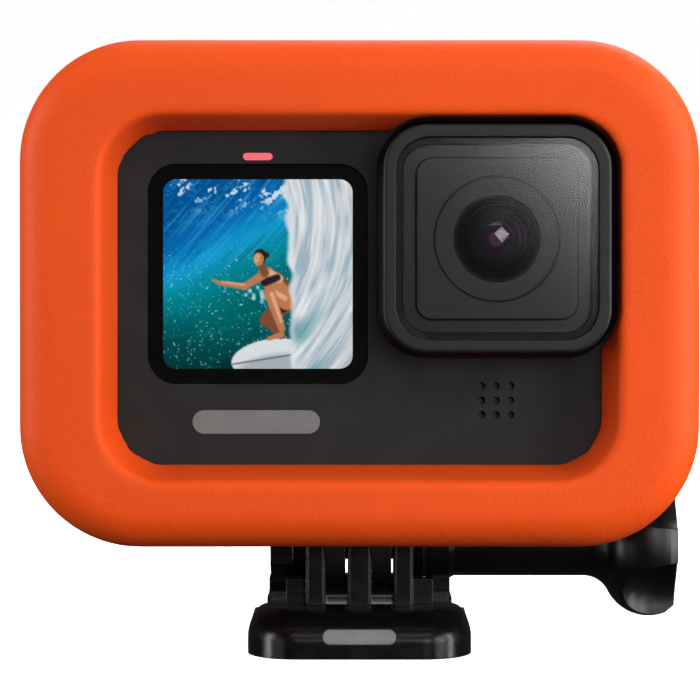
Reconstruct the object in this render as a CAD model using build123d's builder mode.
"""Action camera in a closed-cell foam float, standing on a quick-release buckle and clamped by a long thumb screw.

Frame: +Z up, the lens looks along -Y, +X is on the viewer's right. The origin is on the buckle's flat bottom,
straight below the tilt axis. Millimetres.
"""

import os

from build123d import *

# ---------------------------------------------------------------- driving dimensions
PIVOT_Z = 14.3  # tilt axis above the buckle's bottom
BODY_W, BODY_H, BODY_D, BODY_R = 71.0, 50.8, 25.0, 8.5  # camera body without lens or fingers
BODY_Z = 48.5  # height of the body's centre
WALL, FRONT_WALL = 1.6, 1.8
SPLIT_Y = 9.5  # where the front and rear housings meet
FACE_Y, BACK_Y = -BODY_D / 2, BODY_D / 2
BODY_BOTTOM, BODY_TOP = BODY_Z - BODY_H / 2, BODY_Z + BODY_H / 2
FIT = 0.05  # gap each side of a piece that sits in a recess

SCREEN_X, SCREEN_Z = -13.9, 51.8  # centre of the front screen
WINDOW, WINDOW_R, WINDOW_T = 30.1, 3.9, 0.9
LCD, LCD_T = 26.4, 1.5
GLASS_W, GLASS_H, GLASS_R, GLASS_T = 65.5, 45.5, 5.5, 1.0  # rear touch glass
REAR_LCD_W, REAR_LCD_H = 52.0, 32.0

LENS_X, LENS_Z = 18.5, 56.5  # optical axis
LENS_FRONT = -21.1
LENS_W, LENS_R, LENS_SEAM = 30.6, 5.8, -15.5  # cover outline, and where it meets its mount
MOUNT_FLARE = 0.9
PANE, PANE_R, PANE_T = 27.3, 4.6, 1.1

FLOAT_W, FLOAT_H, FLOAT_D, FLOAT_R = 92.1, 68.7, 38.0, 16.3
FLOAT_FRONT, FLOAT_Z = -20.6, 49.15
FLOAT_EDGE = 5.0  # radius round the front and back faces
FLOAT_GAP = 0.1  # between the float and the camera
FLOAT_BACK = FLOAT_FRONT + FLOAT_D

SHUTTER_X, SHUTTER_W, SHUTTER_D, SHUTTER_RISE, SHUTTER_TRAVEL = -16.5, 13.0, 9.0, 0.8, 0.6
MODE_Z, MODE_H, MODE_D, MODE_RISE, MODE_TRAVEL = 56.0, 11.0, 7.0, 0.5, 0.5

SCREW_R, BORE_R = 2.45, 2.55  # M5 thumb screw and its holes
PRONG_R, FINGER_R = 7.4, 7.4
PRONG_MID = 1.65  # half the middle prong
GAP_OUT, PRONG_OUT = 4.75, 7.4  # the gap's outer side, and the outer prong's
FINGER_T, FINGER_X, FINGER_PLAY = 2.7, 3.2, -0.15  # the clamped fingers sit a little to the left
HINGE_Z, HINGE_R = 24.8, 0.8  # the fingers' fold pins

BASE_W, BASE_H, BASE_FRONT, BASE_BACK = 30.6, 6.1, -20.0, 8.0
NOSE_LOW, NOSE_RUN, SIDE_RUN = 2.2, 7.5, 2.6  # upright this high, then curved back by so much
NOSE_W, SWEEP = 17.0, 9.7  # flat of the nose, and depth of its rounded corners
TONGUE_W, TONGUE_H, TONGUE_BACK, RIDGE_H = 16.0, 5.4, 22.0, 8.0
ARM_X, ARM_Y, KNUCKLE_R = 10.5, 5.6, 1.5  # root of each clip arm
ARM_IN, ARM_OUT, ARM_BACK, ARM_TOP = 9.8, 13.2, 24.5, 7.6

SLEEVE_R, COLLAR_R, KNOB_R = 4.75, 5.15, 9.9
COLLAR_X, COLLAR_END, BELL_X, KNOB_END = 9.4, 12.4, 31.4, 43.9

os.makedirs("parts", exist_ok=True)


def save(piece, name):
    """Labels a finished piece and writes its STEP file."""
    piece.part.label = name
    export_step(piece.part, f"parts/{name}.step")


def facing(y):
    """A plane at that depth which looks forwards: its x is +X, its y is +Z, and extruding goes towards the viewer."""
    return Plane.XZ.offset(-y)


def across(x):
    """A plane at that x which looks along +X: its x is +Y and its y is +Z."""
    return Plane.YZ.offset(x)


def block(x0, x1, y0, y1, z0, z1, mode=Mode.ADD):
    """A box between two corners."""
    with Locations(((x0 + x1) / 2, (y0 + y1) / 2, (z0 + z1) / 2)):
        Box(x1 - x0, y1 - y0, z1 - z0, mode=mode)


def rod_x(radius, x0, x1, y=0.0, z=PIVOT_Z, mode=Mode.ADD):
    """A round bar along X."""
    with Locations(Plane.YZ.offset(x0) * Location((y, z, 0))):
        Cylinder(radius, x1 - x0, align=(Align.CENTER, Align.CENTER, Align.MIN), mode=mode)


def rod_y(radius, y0, y1, x, z, mode=Mode.ADD):
    """A round bar along Y, from y0 back to y1."""
    with Locations(facing(y1) * Location((x, z, 0))):
        Cylinder(radius, y1 - y0, align=(Align.CENTER, Align.CENTER, Align.MIN), mode=mode)


def rounded_slab(x, z, w, h, r, y0, y1, mode=Mode.ADD, taper=0.0):
    """A rounded rectangle seen from the front, from y1 forwards to y0."""
    with BuildSketch(facing(y1)) as outline:
        with Locations((x, z)):
            RectangleRounded(w, h, r)
    extrude(outline.sketch, amount=y1 - y0, mode=mode, taper=taper)


# ---------------------------------------------------------------- camera: housings
FINGER_PLATE_X, FINGER_PLATE_Y, FINGER_PLATE_TOP = 22.5, 8.4, 27.8
DOOR_Y, DOOR_D, DOOR_Z, DOOR_H, DOOR_R = 0.7, 13.8, 47.0, 40.0, 3.0
LED_Z, LED_W, LED_H = 67.85, 4.1, 1.05
MIC_X, MIC_Z, MIC_PITCH, MIC_R = 18.65, 34.55, 1.97, 0.5
SCREW_SPOTS = [(-29.0, 70.4), (29.0, 70.4), (-29.0, 26.6), (29.0, 26.6)]
SMALL_SCREW_R, SMALL_HEAD_R = 0.7, 1.15
GASKET_T, GASKET_D = 0.7, 0.8
HINGE_PIN_X, HINGE_PIN_Z, HINGE_PIN_R, HINGE_PIN_L = 33.9, 28.3, 0.55, 15.2
SLOT_FRAME = FACE_Y + 0.95  # ledge that the front window lies on

with BuildPart() as front_housing:
    rounded_slab(0, BODY_Z, BODY_W, BODY_H, BODY_R, FACE_Y, SPLIT_Y)
    fillet(front_housing.faces().sort_by(Axis.Y)[0].edges(), radius=1.4)
    inner_w, inner_h = BODY_W - 2 * WALL, BODY_H - 2 * WALL
    rounded_slab(0, BODY_Z, inner_w, inner_h, BODY_R - WALL, FACE_Y + FRONT_WALL, SPLIT_Y, Mode.SUBTRACT)
    # bosses for the housing screws, joined to the front wall
    for x, z in SCREW_SPOTS:
        rod_y(1.4, FACE_Y + 1.0, SPLIT_Y - GASKET_D, x, z)
    for x, z in SCREW_SPOTS:
        rod_y(SMALL_SCREW_R, 3.0, SPLIT_Y, x, z, Mode.SUBTRACT)
    # rabbet for the gasket round the rim
    rim_w, rim_h = inner_w + 2 * GASKET_T, inner_h + 2 * GASKET_T
    rounded_slab(0, BODY_Z, rim_w, rim_h, BODY_R - WALL + GASKET_T, SPLIT_Y - GASKET_D, SPLIT_Y, Mode.SUBTRACT)
    # front screen: window recess, then the display's aperture
    rounded_slab(SCREEN_X, SCREEN_Z, WINDOW, WINDOW, WINDOW_R, FACE_Y, SLOT_FRAME, Mode.SUBTRACT)
    rounded_slab(SCREEN_X, SCREEN_Z, LCD + 0.2, LCD + 0.2, 1.2, FACE_Y, FACE_Y + 3, Mode.SUBTRACT)
    # status light, microphone grille and lens aperture
    with BuildSketch(facing(FACE_Y)):
        with Locations((SCREEN_X, LED_Z)):
            SlotOverall(LED_W, LED_H)
        with Locations((MIC_X, MIC_Z)):
            with GridLocations(MIC_PITCH, MIC_PITCH, 3, 3):
                Circle(MIC_R)
        with Locations((LENS_X, LENS_Z)):
            RectangleRounded(23.0, 23.0, 4.0)
    extrude(amount=-3, mode=Mode.SUBTRACT)
    # shutter hole through the top, mode hole through the left side
    with BuildSketch(Plane.XY.offset(BODY_TOP - 3)):
        with Locations((SHUTTER_X, 0)):
            SlotOverall(SHUTTER_W + 0.2, SHUTTER_D + 0.2)
    extrude(amount=5, mode=Mode.SUBTRACT)
    with BuildSketch(across(-BODY_W / 2 - 1)):
        with Locations((0, MODE_Z)):
            SlotOverall(MODE_H + 0.2, MODE_D + 0.2, rotation=90)
    extrude(amount=5, mode=Mode.SUBTRACT)
    # battery door aperture in the right side, with the sockets for its hinge pin
    with BuildSketch(across(BODY_W / 2 - 4)):
        with Locations((DOOR_Y, DOOR_Z)):
            RectangleRounded(DOOR_D, DOOR_H, DOOR_R)
    extrude(amount=5, mode=Mode.SUBTRACT)
    pin_y0, pin_y1 = DOOR_Y - HINGE_PIN_L / 2, DOOR_Y + HINGE_PIN_L / 2
    rod_y(HINGE_PIN_R, pin_y0, pin_y1, HINGE_PIN_X, HINGE_PIN_Z, Mode.SUBTRACT)
    # opening in the bottom for the folding-finger plate
    block(-FINGER_PLATE_X, FINGER_PLATE_X, -FINGER_PLATE_Y, FINGER_PLATE_Y, BODY_BOTTOM - 1, BODY_BOTTOM + 3,
          Mode.SUBTRACT)
save(front_housing, "front_housing")

with BuildPart() as rear_housing:
    rounded_slab(0, BODY_Z, BODY_W, BODY_H, BODY_R, SPLIT_Y, BACK_Y)
    fillet(rear_housing.faces().sort_by(Axis.Y)[-1].edges(), radius=1.2)
    rounded_slab(0, BODY_Z, GLASS_W, GLASS_H, GLASS_R, BACK_Y - GLASS_T, BACK_Y, Mode.SUBTRACT)
    rounded_slab(0, BODY_Z, REAR_LCD_W + 0.2, REAR_LCD_H + 0.2, 1.5, SPLIT_Y, BACK_Y, Mode.SUBTRACT)
    for x, z in SCREW_SPOTS:
        rod_y(SMALL_SCREW_R, SPLIT_Y, BACK_Y, x, z, Mode.SUBTRACT)
    for x, z in SCREW_SPOTS:
        rod_y(SMALL_HEAD_R, BACK_Y - GLASS_T - 0.9, BACK_Y, x, z, Mode.SUBTRACT)
save(rear_housing, "rear_housing")

with BuildPart() as body_gasket:
    rounded_slab(0, BODY_Z, rim_w, rim_h, BODY_R - WALL + GASKET_T, SPLIT_Y - GASKET_D, SPLIT_Y)
    rounded_slab(0, BODY_Z, inner_w, inner_h, BODY_R - WALL, SPLIT_Y - GASKET_D, SPLIT_Y, Mode.SUBTRACT)
save(body_gasket, "body_gasket")

with BuildPart() as housing_screws:
    for x, z in SCREW_SPOTS:
        rod_y(SMALL_SCREW_R, 3.5, BACK_Y - GLASS_T - 0.9, x, z)
    for x, z in SCREW_SPOTS:
        rod_y(SMALL_HEAD_R - 0.02, BACK_Y - GLASS_T - 0.9, BACK_Y - GLASS_T - 0.1, x, z)
save(housing_screws, "housing_screws")

# ---------------------------------------------------------------- camera: screens, light, badge
with BuildPart() as front_window:
    window = WINDOW - 2 * FIT
    rounded_slab(SCREEN_X, SCREEN_Z, window, window, WINDOW_R - FIT, SLOT_FRAME - WINDOW_T, SLOT_FRAME)
    chamfer(front_window.faces().sort_by(Axis.Y)[0].edges(), length=0.15)
save(front_window, "front_window")

with BuildPart() as front_display:
    rounded_slab(SCREEN_X, SCREEN_Z, LCD, LCD, 1.1, SLOT_FRAME, SLOT_FRAME + LCD_T)
save(front_display, "front_display")

with BuildPart() as rear_touch_glass:
    glass_y = BACK_Y - GLASS_T
    rounded_slab(0, BODY_Z, GLASS_W - 2 * FIT, GLASS_H - 2 * FIT, GLASS_R - FIT, glass_y, BACK_Y - 0.05)
    chamfer(rear_touch_glass.faces().sort_by(Axis.Y)[-1].edges(), length=0.15)
save(rear_touch_glass, "rear_touch_glass")

with BuildPart() as rear_display:
    rounded_slab(0, BODY_Z, REAR_LCD_W, REAR_LCD_H, 1.4, glass_y - 2.6, glass_y)
save(rear_display, "rear_display")

with BuildPart() as status_light:
    with BuildSketch(facing(FACE_Y)):
        with Locations((SCREEN_X, LED_Z)):
            SlotOverall(LED_W - 2 * FIT, LED_H - 2 * FIT)
    extrude(amount=-2.2)
save(status_light, "status_light")

BADGE_X, BADGE_Z, BADGE_W, BADGE_H = -14.1, 31.6, 17.4, 3.2
with BuildPart() as front_badge:
    with BuildSketch(facing(FACE_Y)):
        with Locations((BADGE_X, BADGE_Z)):
            SlotOverall(BADGE_W, BADGE_H)
    extrude(amount=0.12)
save(front_badge, "front_badge")

# ---------------------------------------------------------------- camera: lens
with BuildPart() as lens_mount:
    flare = LENS_W + 2 * MOUNT_FLARE
    with BuildSketch(facing(FACE_Y)):
        with Locations((LENS_X, LENS_Z)):
            RectangleRounded(flare, flare, LENS_R + MOUNT_FLARE)
    with BuildSketch(facing(LENS_SEAM)):
        with Locations((LENS_X, LENS_Z)):
            RectangleRounded(LENS_W, LENS_W, LENS_R)
    loft()
    rounded_slab(LENS_X, LENS_Z, 22.9, 22.9, 3.9, FACE_Y, FACE_Y + FRONT_WALL)
    rod_y(9.4, LENS_SEAM - 1, FACE_Y + 3, LENS_X, LENS_Z, Mode.SUBTRACT)
save(lens_mount, "lens_mount")

with BuildPart() as lens_cover_bezel:
    rounded_slab(LENS_X, LENS_Z, LENS_W, LENS_W, LENS_R, LENS_FRONT, LENS_SEAM - 0.12)
    fillet(lens_cover_bezel.faces().sort_by(Axis.Y)[0].edges(), radius=0.45)
    rounded_slab(LENS_X, LENS_Z, PANE, PANE, PANE_R, LENS_FRONT, LENS_FRONT + PANE_T + 0.1, Mode.SUBTRACT)
    rounded_slab(LENS_X, LENS_Z, 25.4, 25.4, 3.6, LENS_FRONT, LENS_SEAM, Mode.SUBTRACT)
save(lens_cover_bezel, "lens_cover_bezel")

with BuildPart() as lens_cover_glass:
    pane_back = LENS_FRONT + PANE_T + 0.1
    rounded_slab(LENS_X, LENS_Z, PANE - 2 * FIT, PANE - 2 * FIT, PANE_R - FIT, pane_back - PANE_T, pane_back)
    chamfer(lens_cover_glass.faces().sort_by(Axis.Y)[0].edges(), length=0.15)
save(lens_cover_glass, "lens_cover_glass")

with BuildPart() as lens_cover_seal:
    rod_y(11.2, LENS_SEAM - 0.12, LENS_SEAM, LENS_X, LENS_Z)
    rod_y(10.2, LENS_SEAM - 0.12, LENS_SEAM, LENS_X, LENS_Z, Mode.SUBTRACT)
save(lens_cover_seal, "lens_cover_seal")

MASK_BACK, MASK_LOW, MASK_HIGH, MASK_BORE = -16.4, -18.4, -19.3, 5.85
with BuildPart() as lens_mask:
    # a dark plate behind the pane: a raised square field with a fine round ridge, and a bore for the barrel
    rounded_slab(LENS_X, LENS_Z, 25.3, 25.3, 3.55, MASK_LOW, MASK_BACK)
    rounded_slab(LENS_X, LENS_Z, 21.9, 21.9, 2.3, MASK_HIGH, MASK_LOW)
    fillet(lens_mask.faces().sort_by(Axis.Y)[0].edges(), radius=0.25)
    rod_y(8.5, MASK_HIGH - 0.25, MASK_HIGH, LENS_X, LENS_Z)
    chamfer(lens_mask.faces().sort_by(Axis.Y)[0].edges(), length=0.12)
    rod_y(8.2, MASK_HIGH - 0.3, MASK_HIGH, LENS_X, LENS_Z, Mode.SUBTRACT)
    rod_y(MASK_BORE, MASK_HIGH, MASK_BACK, LENS_X, LENS_Z, Mode.SUBTRACT)
save(lens_mask, "lens_mask")

BARREL_R, BARREL_FRONT, BARREL_BACK, GLASS_SEAT = 7.6, -19.0, -6.0, 4.65
with BuildPart() as lens_barrel:
    rod_y(BARREL_R, MASK_BACK, BARREL_BACK, LENS_X, LENS_Z)
    rod_y(MASK_BORE - 0.05, BARREL_FRONT, MASK_BACK, LENS_X, LENS_Z)
    rod_y(BARREL_R + 1.5, FACE_Y + FRONT_WALL, FACE_Y + FRONT_WALL + 1.6, LENS_X, LENS_Z)
    # a countersink in front of the seat, and the bore behind it
    with Locations(facing(BARREL_FRONT + 1.4) * Location((LENS_X, LENS_Z, 0))):
        Cone(GLASS_SEAT, MASK_BORE - 0.35, 1.4, align=(Align.CENTER, Align.CENTER, Align.MIN), mode=Mode.SUBTRACT)
    rod_y(GLASS_SEAT, BARREL_FRONT, BARREL_BACK, LENS_X, LENS_Z, Mode.SUBTRACT)
save(lens_barrel, "lens_barrel")


def lens_element(radius, rim_y, sag, back_y):
    """A plano-convex element: the dome stands sag forward of its rim, and its flat back is at back_y."""
    rod_y(radius, rim_y - sag, back_y, LENS_X, LENS_Z)
    sphere_r = (radius**2 + sag**2) / (2 * sag)
    with Locations((LENS_X, rim_y - sag + sphere_r, LENS_Z)):
        Sphere(sphere_r, mode=Mode.INTERSECT)


with BuildPart() as lens_front_element:
    lens_element(4.6, -17.3, 1.9, -16.2)
save(lens_front_element, "lens_front_element")

with BuildPart() as lens_baffle:
    # blackened steps behind the front element, closing in on the pupil
    rod_y(4.6, -16.2, -13.0, LENS_X, LENS_Z)
    for radius, depth in ((4.1, 0.7), (3.3, 1.3), (2.4, 1.9), (0.95, 3.2)):
        rod_y(radius, -16.2, -16.2 + depth, LENS_X, LENS_Z, Mode.SUBTRACT)
save(lens_baffle, "lens_baffle")

with BuildPart() as lens_rear_element:
    lens_element(4.5, -9.6, 1.2, -7.4)
save(lens_rear_element, "lens_rear_element")

with BuildPart() as image_sensor:
    rounded_slab(LENS_X, LENS_Z, 7.0, 5.4, 0.3, BARREL_BACK - 0.9, BARREL_BACK)
save(image_sensor, "image_sensor")

with BuildPart() as sensor_board:
    rounded_slab(LENS_X, LENS_Z, 17.0, 15.2, 1.0, BARREL_BACK, BARREL_BACK + 1.0)
save(sensor_board, "sensor_board")

# ---------------------------------------------------------------- camera: electronics and battery
BATTERY = (-9.4, 31.6, -3.1, 7.3, 28.9, 60.3)
CAGE_T = 0.6
with BuildPart() as battery:
    block(*BATTERY)
    fillet(battery.edges().filter_by(Axis.X), radius=1.6)
save(battery, "battery")

with BuildPart() as battery_pull_tab:
    block(BATTERY[1], BATTERY[1] + 0.8, 0.0, 4.0, 54.0, 60.0)
save(battery_pull_tab, "battery_pull_tab")

with BuildPart() as battery_cage:
    x0, x1, y0, y1, z0, z1 = BATTERY
    block(x0 - 0.2 - CAGE_T, x1, y0 - 0.2 - CAGE_T, y1 + 0.2 + CAGE_T, z0 - 0.2 - CAGE_T, z1 + 0.2 + CAGE_T)
    block(x0 - 0.2, x1 + 1, y0 - 0.2, y1 + 0.2, z0 - 0.2, z1 + 0.2, Mode.SUBTRACT)
save(battery_cage, "battery_cage")

BOARD_Y, BOARD_T = 2.0, 1.2
with BuildPart() as main_board:
    block(-32.0, -11.4, BOARD_Y, BOARD_Y + BOARD_T, 29.5, 68.4)
    block(-BODY_W / 2 + WALL, -30.0, BOARD_Y, BOARD_Y + BOARD_T, 32.0, 48.0)
    block(-11.4, 16.0, BOARD_Y, BOARD_Y + BOARD_T, 61.8, 68.4)
save(main_board, "main_board")

with BuildPart() as processor:
    block(-28.0, -15.0, BOARD_Y - 1.2, BOARD_Y, 46.0, 59.0)
save(processor, "processor")

with BuildPart() as heat_sink:
    block(-28.5, -11.6, BOARD_Y - 2.2, BOARD_Y - 1.2, 38.5, 66.5)
    for i in range(5):
        x = -27.6 + i * 3.2
        block(x, x + 0.8, BOARD_Y - 5.2, BOARD_Y - 2.2, 38.5, 66.5)
save(heat_sink, "heat_sink")

with BuildPart() as usb_port:
    with BuildSketch(across(25.0)):
        with Locations((0.6, 62.7)):
            SlotOverall(9.0, 3.2)
    extrude(amount=8.0)
    with BuildSketch(across(33.0)):
        with Locations((0.6, 62.7)):
            SlotOverall(8.3, 2.5)
    extrude(amount=-7.0, mode=Mode.SUBTRACT)
    block(26.0, 32.0, -2.7, 3.9, 62.35, 63.05)
save(usb_port, "usb_port")

with BuildPart() as card_slot:
    block(17.0, 32.6, -5.6, 6.4, 64.3, 66.2)
    block(17.8, 32.7, -5.1, 5.9, 64.8, 65.7, Mode.SUBTRACT)
save(card_slot, "card_slot")

with BuildPart() as memory_card:
    block(18.0, 32.9, -5.0, 5.8, 64.8, 65.5)
save(memory_card, "memory_card")

with BuildPart() as speaker:
    rod_y(5.0, FACE_Y + FRONT_WALL, -6.5, -25.0, 33.4)
save(speaker, "speaker")

with BuildPart() as front_microphone:
    rounded_slab(MIC_X, MIC_Z, 7.0, 7.0, 0.8, FACE_Y + FRONT_WALL, FACE_Y + FRONT_WALL + 2.0)
save(front_microphone, "front_microphone")

# ---------------------------------------------------------------- camera: battery door
DOOR_FIT = 0.1
LATCH_Z, LATCH_H, LATCH_D, LATCH_TRAVEL = 60.0, 7.0, 6.0, 1.5
with BuildPart() as battery_door:
    # curved like the housing's own wall, round the lower corner
    with BuildSketch(across(BODY_W / 2 - 4)):
        with Locations((DOOR_Y, DOOR_Z)):
            RectangleRounded(DOOR_D - 2 * DOOR_FIT, DOOR_H - 2 * DOOR_FIT, DOOR_R - DOOR_FIT)
    extrude(amount=5)
    rounded_slab(0, BODY_Z, BODY_W, BODY_H, BODY_R, FACE_Y, SPLIT_Y, Mode.INTERSECT)
    rounded_slab(0, BODY_Z, inner_w, inner_h, BODY_R - WALL, FACE_Y, SPLIT_Y, Mode.SUBTRACT)
    rod_y(HINGE_PIN_R + 0.05, pin_y0, pin_y1, HINGE_PIN_X, HINGE_PIN_Z, Mode.SUBTRACT)
    # recess that the latch slides in
    latch_room = LATCH_H + LATCH_TRAVEL + 0.3
    with BuildSketch(across(BODY_W / 2)):
        with Locations((DOOR_Y, LATCH_Z - LATCH_TRAVEL / 2)):
            RectangleRounded(LATCH_D + 0.2, latch_room, 1.1)
    extrude(amount=-0.8, mode=Mode.SUBTRACT)
save(battery_door, "battery_door")

with BuildPart() as door_latch:
    with BuildSketch(across(BODY_W / 2 - 0.8)):
        with Locations((DOOR_Y, LATCH_Z)):
            RectangleRounded(LATCH_D, LATCH_H, 1.0)
    extrude(amount=0.8)
    for i in range(4):
        z = LATCH_Z - 2.1 + i * 1.4
        block(BODY_W / 2 - 0.3, BODY_W / 2, DOOR_Y - 2.2, DOOR_Y + 2.2, z - 0.3, z + 0.3, Mode.SUBTRACT)
save(door_latch, "door_latch")

with BuildPart() as door_hinge_pin:
    rod_y(HINGE_PIN_R, pin_y0, pin_y1, HINGE_PIN_X, HINGE_PIN_Z)
save(door_hinge_pin, "door_hinge_pin")

with BuildPart() as door_seal:
    with BuildSketch(across(BODY_W / 2 - WALL - 0.8)):
        with Locations((DOOR_Y, BODY_Z)):
            RectangleRounded(DOOR_D - 0.4, 33.0, 2.6)
            RectangleRounded(DOOR_D - 2.0, 31.4, 1.8, mode=Mode.SUBTRACT)
    extrude(amount=0.8)
save(door_seal, "door_seal")

# ---------------------------------------------------------------- camera: buttons and their switches
FLANGE_TOP = BODY_TOP - WALL - 0.25
with BuildPart() as shutter_button:
    with BuildSketch(Plane.XY.offset(FLANGE_TOP - 0.8)):
        with Locations((SHUTTER_X, 0)):
            SlotOverall(SHUTTER_W + 1.6, SHUTTER_D + 1.6)
    extrude(amount=0.8)
    with BuildSketch(Plane.XY.offset(FLANGE_TOP)):
        with Locations((SHUTTER_X, 0)):
            SlotOverall(SHUTTER_W, SHUTTER_D)
    extrude(amount=BODY_TOP + SHUTTER_RISE - FLANGE_TOP)
    fillet(shutter_button.faces().sort_by(Axis.Z)[-1].edges(), radius=0.5)
    with BuildSketch(Plane.XY.offset(BODY_TOP + SHUTTER_RISE)):
        with Locations((SHUTTER_X, 0)):
            Circle(3.3)
            Circle(2.7, mode=Mode.SUBTRACT)
    extrude(amount=-0.4, mode=Mode.SUBTRACT)
save(shutter_button, "shutter_button")

with BuildPart() as shutter_ring:
    with BuildSketch(Plane.XY.offset(BODY_TOP + SHUTTER_RISE - 0.4)):
        with Locations((SHUTTER_X, 0)):
            Circle(3.3)
            Circle(2.7, mode=Mode.SUBTRACT)
    extrude(amount=0.4)
save(shutter_ring, "shutter_ring")

with BuildPart() as shutter_switch:
    switch_top = FLANGE_TOP - 0.8 - SHUTTER_TRAVEL - 0.1
    block(SHUTTER_X - 3, SHUTTER_X + 3, -3, BOARD_Y + BOARD_T, 68.4, switch_top - 0.5)
    with Locations((SHUTTER_X, 0, switch_top - 0.5)):
        Cylinder(1.5, 0.5, align=(Align.CENTER, Align.CENTER, Align.MIN))
save(shutter_switch, "shutter_switch")

MODE_FLANGE = -BODY_W / 2 + WALL + 0.25
with BuildPart() as mode_button:
    with BuildSketch(across(MODE_FLANGE)):
        with Locations((0, MODE_Z)):
            SlotOverall(MODE_H + 1.6, MODE_D + 1.6, rotation=90)
    extrude(amount=0.8)
    with BuildSketch(across(-BODY_W / 2 - MODE_RISE)):
        with Locations((0, MODE_Z)):
            SlotOverall(MODE_H, MODE_D, rotation=90)
    extrude(amount=MODE_RISE + WALL + 0.25)
    fillet(mode_button.faces().sort_by(Axis.X)[0].edges(), radius=0.4)
save(mode_button, "mode_button")

with BuildPart() as mode_switch:
    switch_x = MODE_FLANGE + 0.8 + MODE_TRAVEL + 0.1
    block(switch_x, switch_x + 2.8, -2.0, BOARD_Y, MODE_Z - 2.5, MODE_Z + 2.5)
save(mode_switch, "mode_switch")

# ---------------------------------------------------------------- camera: folding fingers
TRAY_TOP = 26.35
with BuildPart() as finger_plate:
    block(-FINGER_PLATE_X + FIT, FINGER_PLATE_X - FIT, -FINGER_PLATE_Y + FIT, FINGER_PLATE_Y - FIT,
          BODY_BOTTOM, FINGER_PLATE_TOP)
    # one tray on each side, where a finger lies when it is folded flat
    for side in (-1, 1):
        root = side * FINGER_X + FINGER_PLAY
        tip = root + side * (HINGE_Z - PIVOT_Z + FINGER_R + 0.6)
        start = root - side * (FINGER_T / 2 + 0.1)
        block(min(start, tip), max(start, tip), -FINGER_R - 0.1, FINGER_R + 0.1, BODY_BOTTOM - 1, TRAY_TOP,
              Mode.SUBTRACT)
        rod_y(HINGE_R, -FINGER_PLATE_Y + 0.3, FINGER_PLATE_Y - 0.3, root, HINGE_Z, Mode.SUBTRACT)
save(finger_plate, "finger_plate")


def finger(x):
    """One flat finger: a round knuckle on its fold pin, and a round end with the screw's hole."""
    with BuildSketch(across(x - FINGER_T / 2)) as outline:
        with Locations((0, PIVOT_Z)):
            Circle(FINGER_R)
        with Locations((0, (PIVOT_Z + HINGE_Z) / 2)):
            Rectangle(2 * FINGER_R, HINGE_Z - PIVOT_Z)
        with Locations((0, PIVOT_Z)):
            Circle(BORE_R, mode=Mode.SUBTRACT)
    extrude(outline.sketch, amount=FINGER_T)
    rod_y(FINGER_T / 2, -FINGER_R, FINGER_R, x, HINGE_Z)
    rod_y(HINGE_R + 0.05, -FINGER_R, FINGER_R, x, HINGE_Z, Mode.SUBTRACT)


with BuildPart() as finger_left:
    finger(-FINGER_X + FINGER_PLAY)
save(finger_left, "finger_left")

with BuildPart() as finger_right:
    finger(FINGER_X + FINGER_PLAY)
save(finger_right, "finger_right")

with BuildPart() as finger_pins:
    for side in (-1, 1):
        rod_y(HINGE_R, -FINGER_PLATE_Y + 0.3, FINGER_PLATE_Y - 0.3, side * FINGER_X + FINGER_PLAY, HINGE_Z)
save(finger_pins, "finger_pins")

# ---------------------------------------------------------------- float
BEVEL_Y = FACE_Y - FLOAT_GAP  # the lip's inner face lies on the camera's front
LIP_W, LIP_H, LIP_R, LIP_TAPER = 65.6, 45.1, 6.4, -15.0
NOTCH = LENS_W + 2.5
BAY_X0, BAY_X1, BAY_Y = -13.2, 37.5, -8.6  # underside bay for the prongs and the screw's sleeve
KNOB_BAY_R = 10.6

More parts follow.
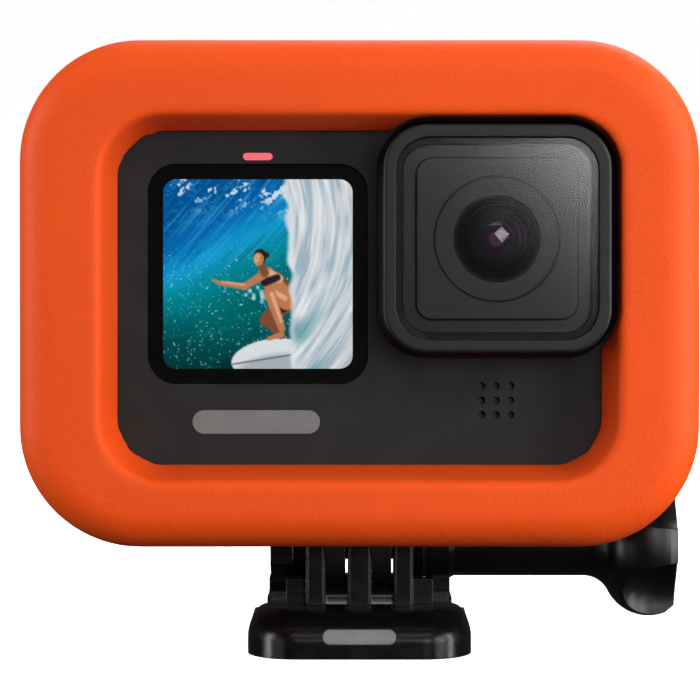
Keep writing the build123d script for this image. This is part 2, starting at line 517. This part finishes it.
with BuildPart() as float_case:
    rounded_slab(0, FLOAT_Z, FLOAT_W, FLOAT_H, FLOAT_R, FLOAT_FRONT, FLOAT_BACK)
    fillet(float_case.faces().filter_by(Axis.Y).edges(), radius=FLOAT_EDGE)
    # pocket for the camera, open at the back
    pocket_w, pocket_h, pocket_r = BODY_W + 2 * FLOAT_GAP, BODY_H + 2 * FLOAT_GAP, BODY_R + FLOAT_GAP
    rounded_slab(0, BODY_Z, pocket_w, pocket_h, pocket_r, BEVEL_Y, FLOAT_BACK, Mode.SUBTRACT)
    with BuildSketch(facing(FLOAT_BACK - 3.0)):
        with Locations((0, BODY_Z)):
            RectangleRounded(pocket_w, pocket_h, pocket_r)
    extrude(amount=-4.0, mode=Mode.SUBTRACT, taper=-20)
    # front opening with its sloping wall, and the straight-walled notch round the lens
    with BuildSketch(facing(BEVEL_Y)):
        with Locations((0, BODY_Z)):
            RectangleRounded(LIP_W, LIP_H, LIP_R)
    extrude(amount=BEVEL_Y - FLOAT_FRONT, mode=Mode.SUBTRACT, taper=LIP_TAPER)
    fillet(float_case.faces().sort_by(Axis.Y)[0].inner_wires()[0].edges(), radius=0.8)
    rounded_slab(LENS_X, LENS_Z, NOTCH, NOTCH, LENS_R + 1.25, FLOAT_FRONT - 1, BEVEL_Y, Mode.SUBTRACT)
    # finger holes over the shutter and mode buttons, with reliefs that let the float slide past them
    with BuildSketch(Plane.XY.offset(BODY_TOP - 1)):
        with Locations((SHUTTER_X, 0)):
            SlotOverall(SHUTTER_W + 2, SHUTTER_D + 2)
    extrude(amount=15, mode=Mode.SUBTRACT, taper=-12)
    relief = SHUTTER_W / 2 + 0.6
    block(SHUTTER_X - relief, SHUTTER_X + relief, 0, FLOAT_BACK + 1, BODY_TOP - 1, BODY_TOP + SHUTTER_RISE + 0.3,
          Mode.SUBTRACT)
    with BuildSketch(across(-BODY_W / 2 + 1)):
        with Locations((0, MODE_Z)):
            SlotOverall(MODE_H + 2, MODE_D + 2, rotation=90)
    extrude(amount=-15, mode=Mode.SUBTRACT, taper=-12)
    relief = MODE_H / 2 + 0.6
    block(-BODY_W / 2 - MODE_RISE - 0.3, -BODY_W / 2 + 1, 0, FLOAT_BACK + 1, MODE_Z - relief, MODE_Z + relief,
          Mode.SUBTRACT)
    # underside: room for the prongs, the screw's sleeve and its knob, all open to the back
    block(BAY_X0, BAY_X1, BAY_Y, FLOAT_BACK + 1, 0, BODY_BOTTOM + 1, Mode.SUBTRACT)
    rod_x(KNOB_BAY_R, BAY_X1 - 1.5, FLOAT_W / 2 + 5, mode=Mode.SUBTRACT)
    knob_bay_top = PIVOT_Z + KNOB_BAY_R
    block(BAY_X1 - 1, FLOAT_W / 2 + 5, 0, FLOAT_BACK + 1, 0, knob_bay_top, Mode.SUBTRACT)
save(float_case, "float_case")

# ---------------------------------------------------------------- buckle
HEX_BOSS, HEX_NUT = 9.6, 8.0  # across flats
ROUND_BOSS_L, HEX_END, NUT_SEAT = -9.3, -12.4, -8.2
ROUND_BOSS_R = 8.8
BADGE2_W, BADGE2_H, BADGE2_Z, BADGE2_T = 9.8, 1.9, 3.0, 0.3
WING_X, WING_Y, WING_H = 12.6, -4.0, 4.3  # behind the nose, the base's sides drop to low rails
SLOT_FLOOR_R = 10.1  # the prong gaps are cut this far below the axis


def hexagon(x0, x1, flats, mode=Mode.ADD):
    """A hexagonal bar along X on the tilt axis, with corners at its top and bottom."""
    with BuildSketch(across(x0)) as outline:
        with Locations((0, PIVOT_Z)):
            RegularPolygon(flats / 2, 6, major_radius=False, rotation=30)
    extrude(outline.sketch, amount=x1 - x0, mode=mode)


def prong(x0, x1, edge=0.3):
    """One upright prong, round over the axis, with its edges broken."""
    for inset, trim in ((0.0, edge), (edge, 0.0)):
        with BuildSketch(across(x0 + inset)) as side_view:
            with Locations((0, PIVOT_Z)):
                Circle(PRONG_R - trim)
            with Locations((0, (3.0 + PIVOT_Z) / 2)):
                Rectangle(2 * (PRONG_R - trim), PIVOT_Z - 3.0)
        extrude(side_view.sketch, amount=x1 - x0 - 2 * inset)


def base_block(shift=0.0, mode=Mode.ADD):
    """The base without its tongue, moved back by shift: upright toe, then long curve at the front and short at the sides."""
    sections = []
    for rise in (0.0, 0.35, 0.6, 0.8, 0.93, 1.0):
        inset = 1 - (1 - rise**2) ** 0.5
        front = BASE_FRONT + shift + NOSE_RUN * inset
        half = BASE_W / 2 - SIDE_RUN * inset
        with BuildSketch(Plane.XY.offset(NOSE_LOW + (BASE_H - NOSE_LOW) * rise)) as section:
            with BuildLine():
                Line((-NOSE_W / 2, front), (NOSE_W / 2, front))
                EllipticalCenterArc((NOSE_W / 2, front + SWEEP), half - NOSE_W / 2, SWEEP, 270, arc_size=90)
                Polyline((half, front + SWEEP), (half, BASE_BACK), (-half, BASE_BACK), (-half, front + SWEEP))
                EllipticalCenterArc((-NOSE_W / 2, front + SWEEP), half - NOSE_W / 2, SWEEP, 180, arc_size=90)
            make_face()
        sections.append(section.sketch)
    loft(sections, mode=mode)
    extrude(sections[0], amount=NOSE_LOW, dir=(0, 0, -1), mode=mode)


with BuildPart() as badge_seat:
    rounded_slab(0, BADGE2_Z, BADGE2_W, BADGE2_H, 0.9, BASE_FRONT - 1, BASE_FRONT + 3)
    base_block(BADGE2_T, Mode.SUBTRACT)

with BuildPart() as buckle_badge:
    base_block(-0.06)
    base_block(BADGE2_T, Mode.SUBTRACT)
    rounded_slab(0, BADGE2_Z, BADGE2_W, BADGE2_H, 0.9, BASE_FRONT - 1, BASE_FRONT + 3, Mode.INTERSECT)
save(buckle_badge, "buckle_badge")

with BuildPart() as buckle_base:
    base_block()
    for side in (-1, 1):
        x0, x1 = sorted((side * WING_X, side * (BASE_W / 2 + 1)))
        block(x0, x1, WING_Y, BASE_BACK + 1, WING_H, BASE_H + 1, Mode.SUBTRACT)
    # central tongue with a thumb ridge at its end
    block(-TONGUE_W / 2, TONGUE_W / 2, BASE_BACK - 1, TONGUE_BACK, 0, TONGUE_H)
    block(-TONGUE_W / 2, TONGUE_W / 2, TONGUE_BACK - 3.5, TONGUE_BACK, TONGUE_H - 1, RIDGE_H)
    fillet(buckle_base.edges().filter_by(Axis.Z).sort_by(Axis.Y)[-2:], radius=2.0)
    # three prongs, rounded over the axis
    for x0, x1 in ((-PRONG_OUT, -GAP_OUT), (-PRONG_MID, PRONG_MID), (GAP_OUT, PRONG_OUT)):
        prong(x0, x1)
    # bosses: the nut's on the left, a plain one on the right, each on a small gusset
    rod_x(5.3, ROUND_BOSS_L, -PRONG_OUT)
    hexagon(HEX_END, ROUND_BOSS_L, HEX_BOSS)
    rod_x(COLLAR_R, PRONG_OUT, ROUND_BOSS_R)
    for side in (-1, 1):
        x0, x1 = sorted((side * PRONG_OUT, side * 10.2))
        block(x0, x1, -5.0, 3.4, BASE_H - 1, 9.5)
    # a saddle in the right gusset, clear of the washer and the knob's collar
    rod_x(5.3, ROUND_BOSS_R, ROUND_BOSS_R + 2, mode=Mode.SUBTRACT)
    # gaps for the camera's fingers, the screw's bore and the nut's seat
    for side in (-1, 1):
        x0, x1 = sorted((side * PRONG_MID, side * GAP_OUT))
        rod_x(SLOT_FLOOR_R, x0, x1, mode=Mode.SUBTRACT)
    rod_x(BORE_R, HEX_END - 1, ROUND_BOSS_R + 1, mode=Mode.SUBTRACT)
    hexagon(HEX_END, NUT_SEAT, HEX_NUT, Mode.SUBTRACT)
    # sockets for the clip arms' roots
    for side in (-1, 1):
        with Locations((side * ARM_X, ARM_Y, 1.0)):
            Cylinder(KNUCKLE_R + 0.06, BASE_H, align=(Align.CENTER, Align.CENTER, Align.MIN), mode=Mode.SUBTRACT)
        block(side * ARM_X - 1.5, side * ARM_X + 1.5, ARM_Y, BASE_BACK + 1, 1.0, BASE_H + 1, Mode.SUBTRACT)
    # rails along both sides, which slide into an adhesive or helmet mount
    for side in (-1, 1):
        x0, x1 = sorted((side * (BASE_W / 2 - 1.3), side * (BASE_W / 2 + 1)))
        block(x0, x1, -8.0, BASE_BACK + 1, 1.6, 3.4, Mode.SUBTRACT)
    add(badge_seat.part, mode=Mode.SUBTRACT)
save(buckle_base, "buckle_base")

with BuildPart() as hex_nut:
    hexagon(HEX_END + 0.2, NUT_SEAT, HEX_NUT)
    rod_x(SCREW_R + 0.05, HEX_END, NUT_SEAT + 1, mode=Mode.SUBTRACT)
save(hex_nut, "hex_nut")


def clip_arm(side):
    """One spring arm: a round root, a springy neck, an outward barb and a ribbed pad to squeeze."""
    with Locations((side * ARM_X, ARM_Y, 1.2)):
        Cylinder(KNUCKLE_R, 4.5, align=(Align.CENTER, Align.CENTER, Align.MIN))
    block(side * ARM_X - 1.0, side * ARM_X + 1.0, ARM_Y, 8.6, 1.2, 5.7)
    x0, x1 = sorted((side * ARM_IN, side * ARM_OUT))
    block(x0, x1, 8.3, ARM_BACK, 1.2, 5.7)
    block(x0, x1, 18.5, ARM_BACK, 5.0, ARM_TOP)
    with BuildSketch(Plane.XY.offset(1.2)) as barb:
        with BuildLine():
            Polyline((side * ARM_OUT, 14.0), (side * (ARM_OUT + 1.4), 17.6), (side * ARM_OUT, 17.6), close=True)
        make_face()
    extrude(barb.sketch, amount=2.2, dir=(0, 0, 1))
    for i in range(4):
        y = 19.6 + i * 1.2
        x0, x1 = sorted((side * (ARM_OUT - 0.35), side * (ARM_OUT + 1)))
        block(x0, x1, y, y + 0.5, 3.8, ARM_TOP + 1, Mode.SUBTRACT)


with BuildPart() as clip_arm_left:
    clip_arm(-1)
    fillet(clip_arm_left.faces().sort_by(Axis.Y)[-1].edges().filter_by(Axis.Z), radius=1.0)
save(clip_arm_left, "clip_arm_left")

with BuildPart() as clip_arm_right:
    clip_arm(1)
    fillet(clip_arm_right.faces().sort_by(Axis.Y)[-1].edges().filter_by(Axis.Z), radius=1.0)
save(clip_arm_right, "clip_arm_right")

# ---------------------------------------------------------------- thumb screw
TIP_X, PITCH, THREAD_END, THREAD_DEPTH = -12.0, 0.8, -7.2, 0.3
SHANK_END, KNURL_START, KNURL_R = 27.0, 18.0, 3.2
SCOOP_R, SCOOP_OFFSET, SCOOP_X = 5.73, 11.33, 41.7

with BuildPart() as thrust_washer:
    rod_x(4.9, ROUND_BOSS_R, COLLAR_X)
    rod_x(BORE_R, ROUND_BOSS_R, COLLAR_X, mode=Mode.SUBTRACT)
save(thrust_washer, "thrust_washer")

with BuildPart() as screw_shaft:
    rod_x(SCREW_R, TIP_X, SHANK_END)
    chamfer(screw_shaft.faces().sort_by(Axis.X)[0].edges(), length=0.5)
    rod_x(KNURL_R, KNURL_START, SHANK_END)
    # thread, as rings one pitch apart
    grooves = int((THREAD_END - TIP_X - 1) / PITCH)
    for i in range(grooves):
        x = TIP_X + 0.9 + i * PITCH
        with BuildSketch(Plane.XZ):
            with BuildLine():
                Polyline((x - 0.3, PIVOT_Z + SCREW_R + 0.01), (x, PIVOT_Z + SCREW_R - THREAD_DEPTH),
                         (x + 0.3, PIVOT_Z + SCREW_R + 0.01), close=True)
            make_face()
        revolve(axis=Axis((0, 0, PIVOT_Z), (1, 0, 0)), mode=Mode.SUBTRACT)
save(screw_shaft, "screw_shaft")

with BuildPart() as thumb_knob:
    # collar, long sleeve and bell, turned about the screw's axis
    with BuildSketch(Plane((0, 0, PIVOT_Z), x_dir=(1, 0, 0), z_dir=(0, -1, 0))):
        with BuildLine():
            Line((COLLAR_X, 0), (COLLAR_X, COLLAR_R))
            Line((COLLAR_X, COLLAR_R), (COLLAR_END, COLLAR_R))
            Line((COLLAR_END, COLLAR_R), (COLLAR_END + 0.8, SLEEVE_R))
            Line((COLLAR_END + 0.8, SLEEVE_R), (BELL_X, SLEEVE_R))
            hollow = TangentArc((BELL_X, SLEEVE_R), (BELL_X + 3.4, SLEEVE_R + 2.1), tangent=(1, 0))
            crown = TangentArc(hollow @ 1, (KNOB_END - 1.1, KNOB_R), tangent=hollow % 1)
            Line(crown @ 1, (KNOB_END, KNOB_R - 0.9))
            Line((KNOB_END, KNOB_R - 0.9), (KNOB_END + 0.4, 3.6))
            Line((KNOB_END + 0.4, 3.6), (KNOB_END + 0.4, 0))
            Line((KNOB_END + 0.4, 0), (COLLAR_X, 0))
        make_face()
    revolve(axis=Axis((0, 0, PIVOT_Z), (1, 0, 0)))
    # four finger scoops with round ends, between four lobes
    aside = SCOOP_OFFSET * 0.7071
    for y, z in ((-aside, -aside), (-aside, aside), (aside, -aside), (aside, aside)):
        rod_x(SCOOP_R, SCOOP_X, KNOB_END + 3, y, PIVOT_Z + z, Mode.SUBTRACT)
        with Locations((SCOOP_X, y, PIVOT_Z + z)):
            Sphere(SCOOP_R, mode=Mode.SUBTRACT)
    # room for the steel shank and the end cap
    rod_x(SCREW_R, COLLAR_X, SHANK_END, mode=Mode.SUBTRACT)
    rod_x(KNURL_R, KNURL_START, SHANK_END, mode=Mode.SUBTRACT)
    rod_x(3.0, KNOB_END - 0.4, KNOB_END + 1, mode=Mode.SUBTRACT)
save(thumb_knob, "thumb_knob")

with BuildPart() as knob_end_cap:
    rod_x(2.95, KNOB_END - 0.4, KNOB_END + 0.3)
    chamfer(knob_end_cap.faces().sort_by(Axis.X)[-1].edges(), length=0.2)
save(knob_end_cap, "knob_end_cap")
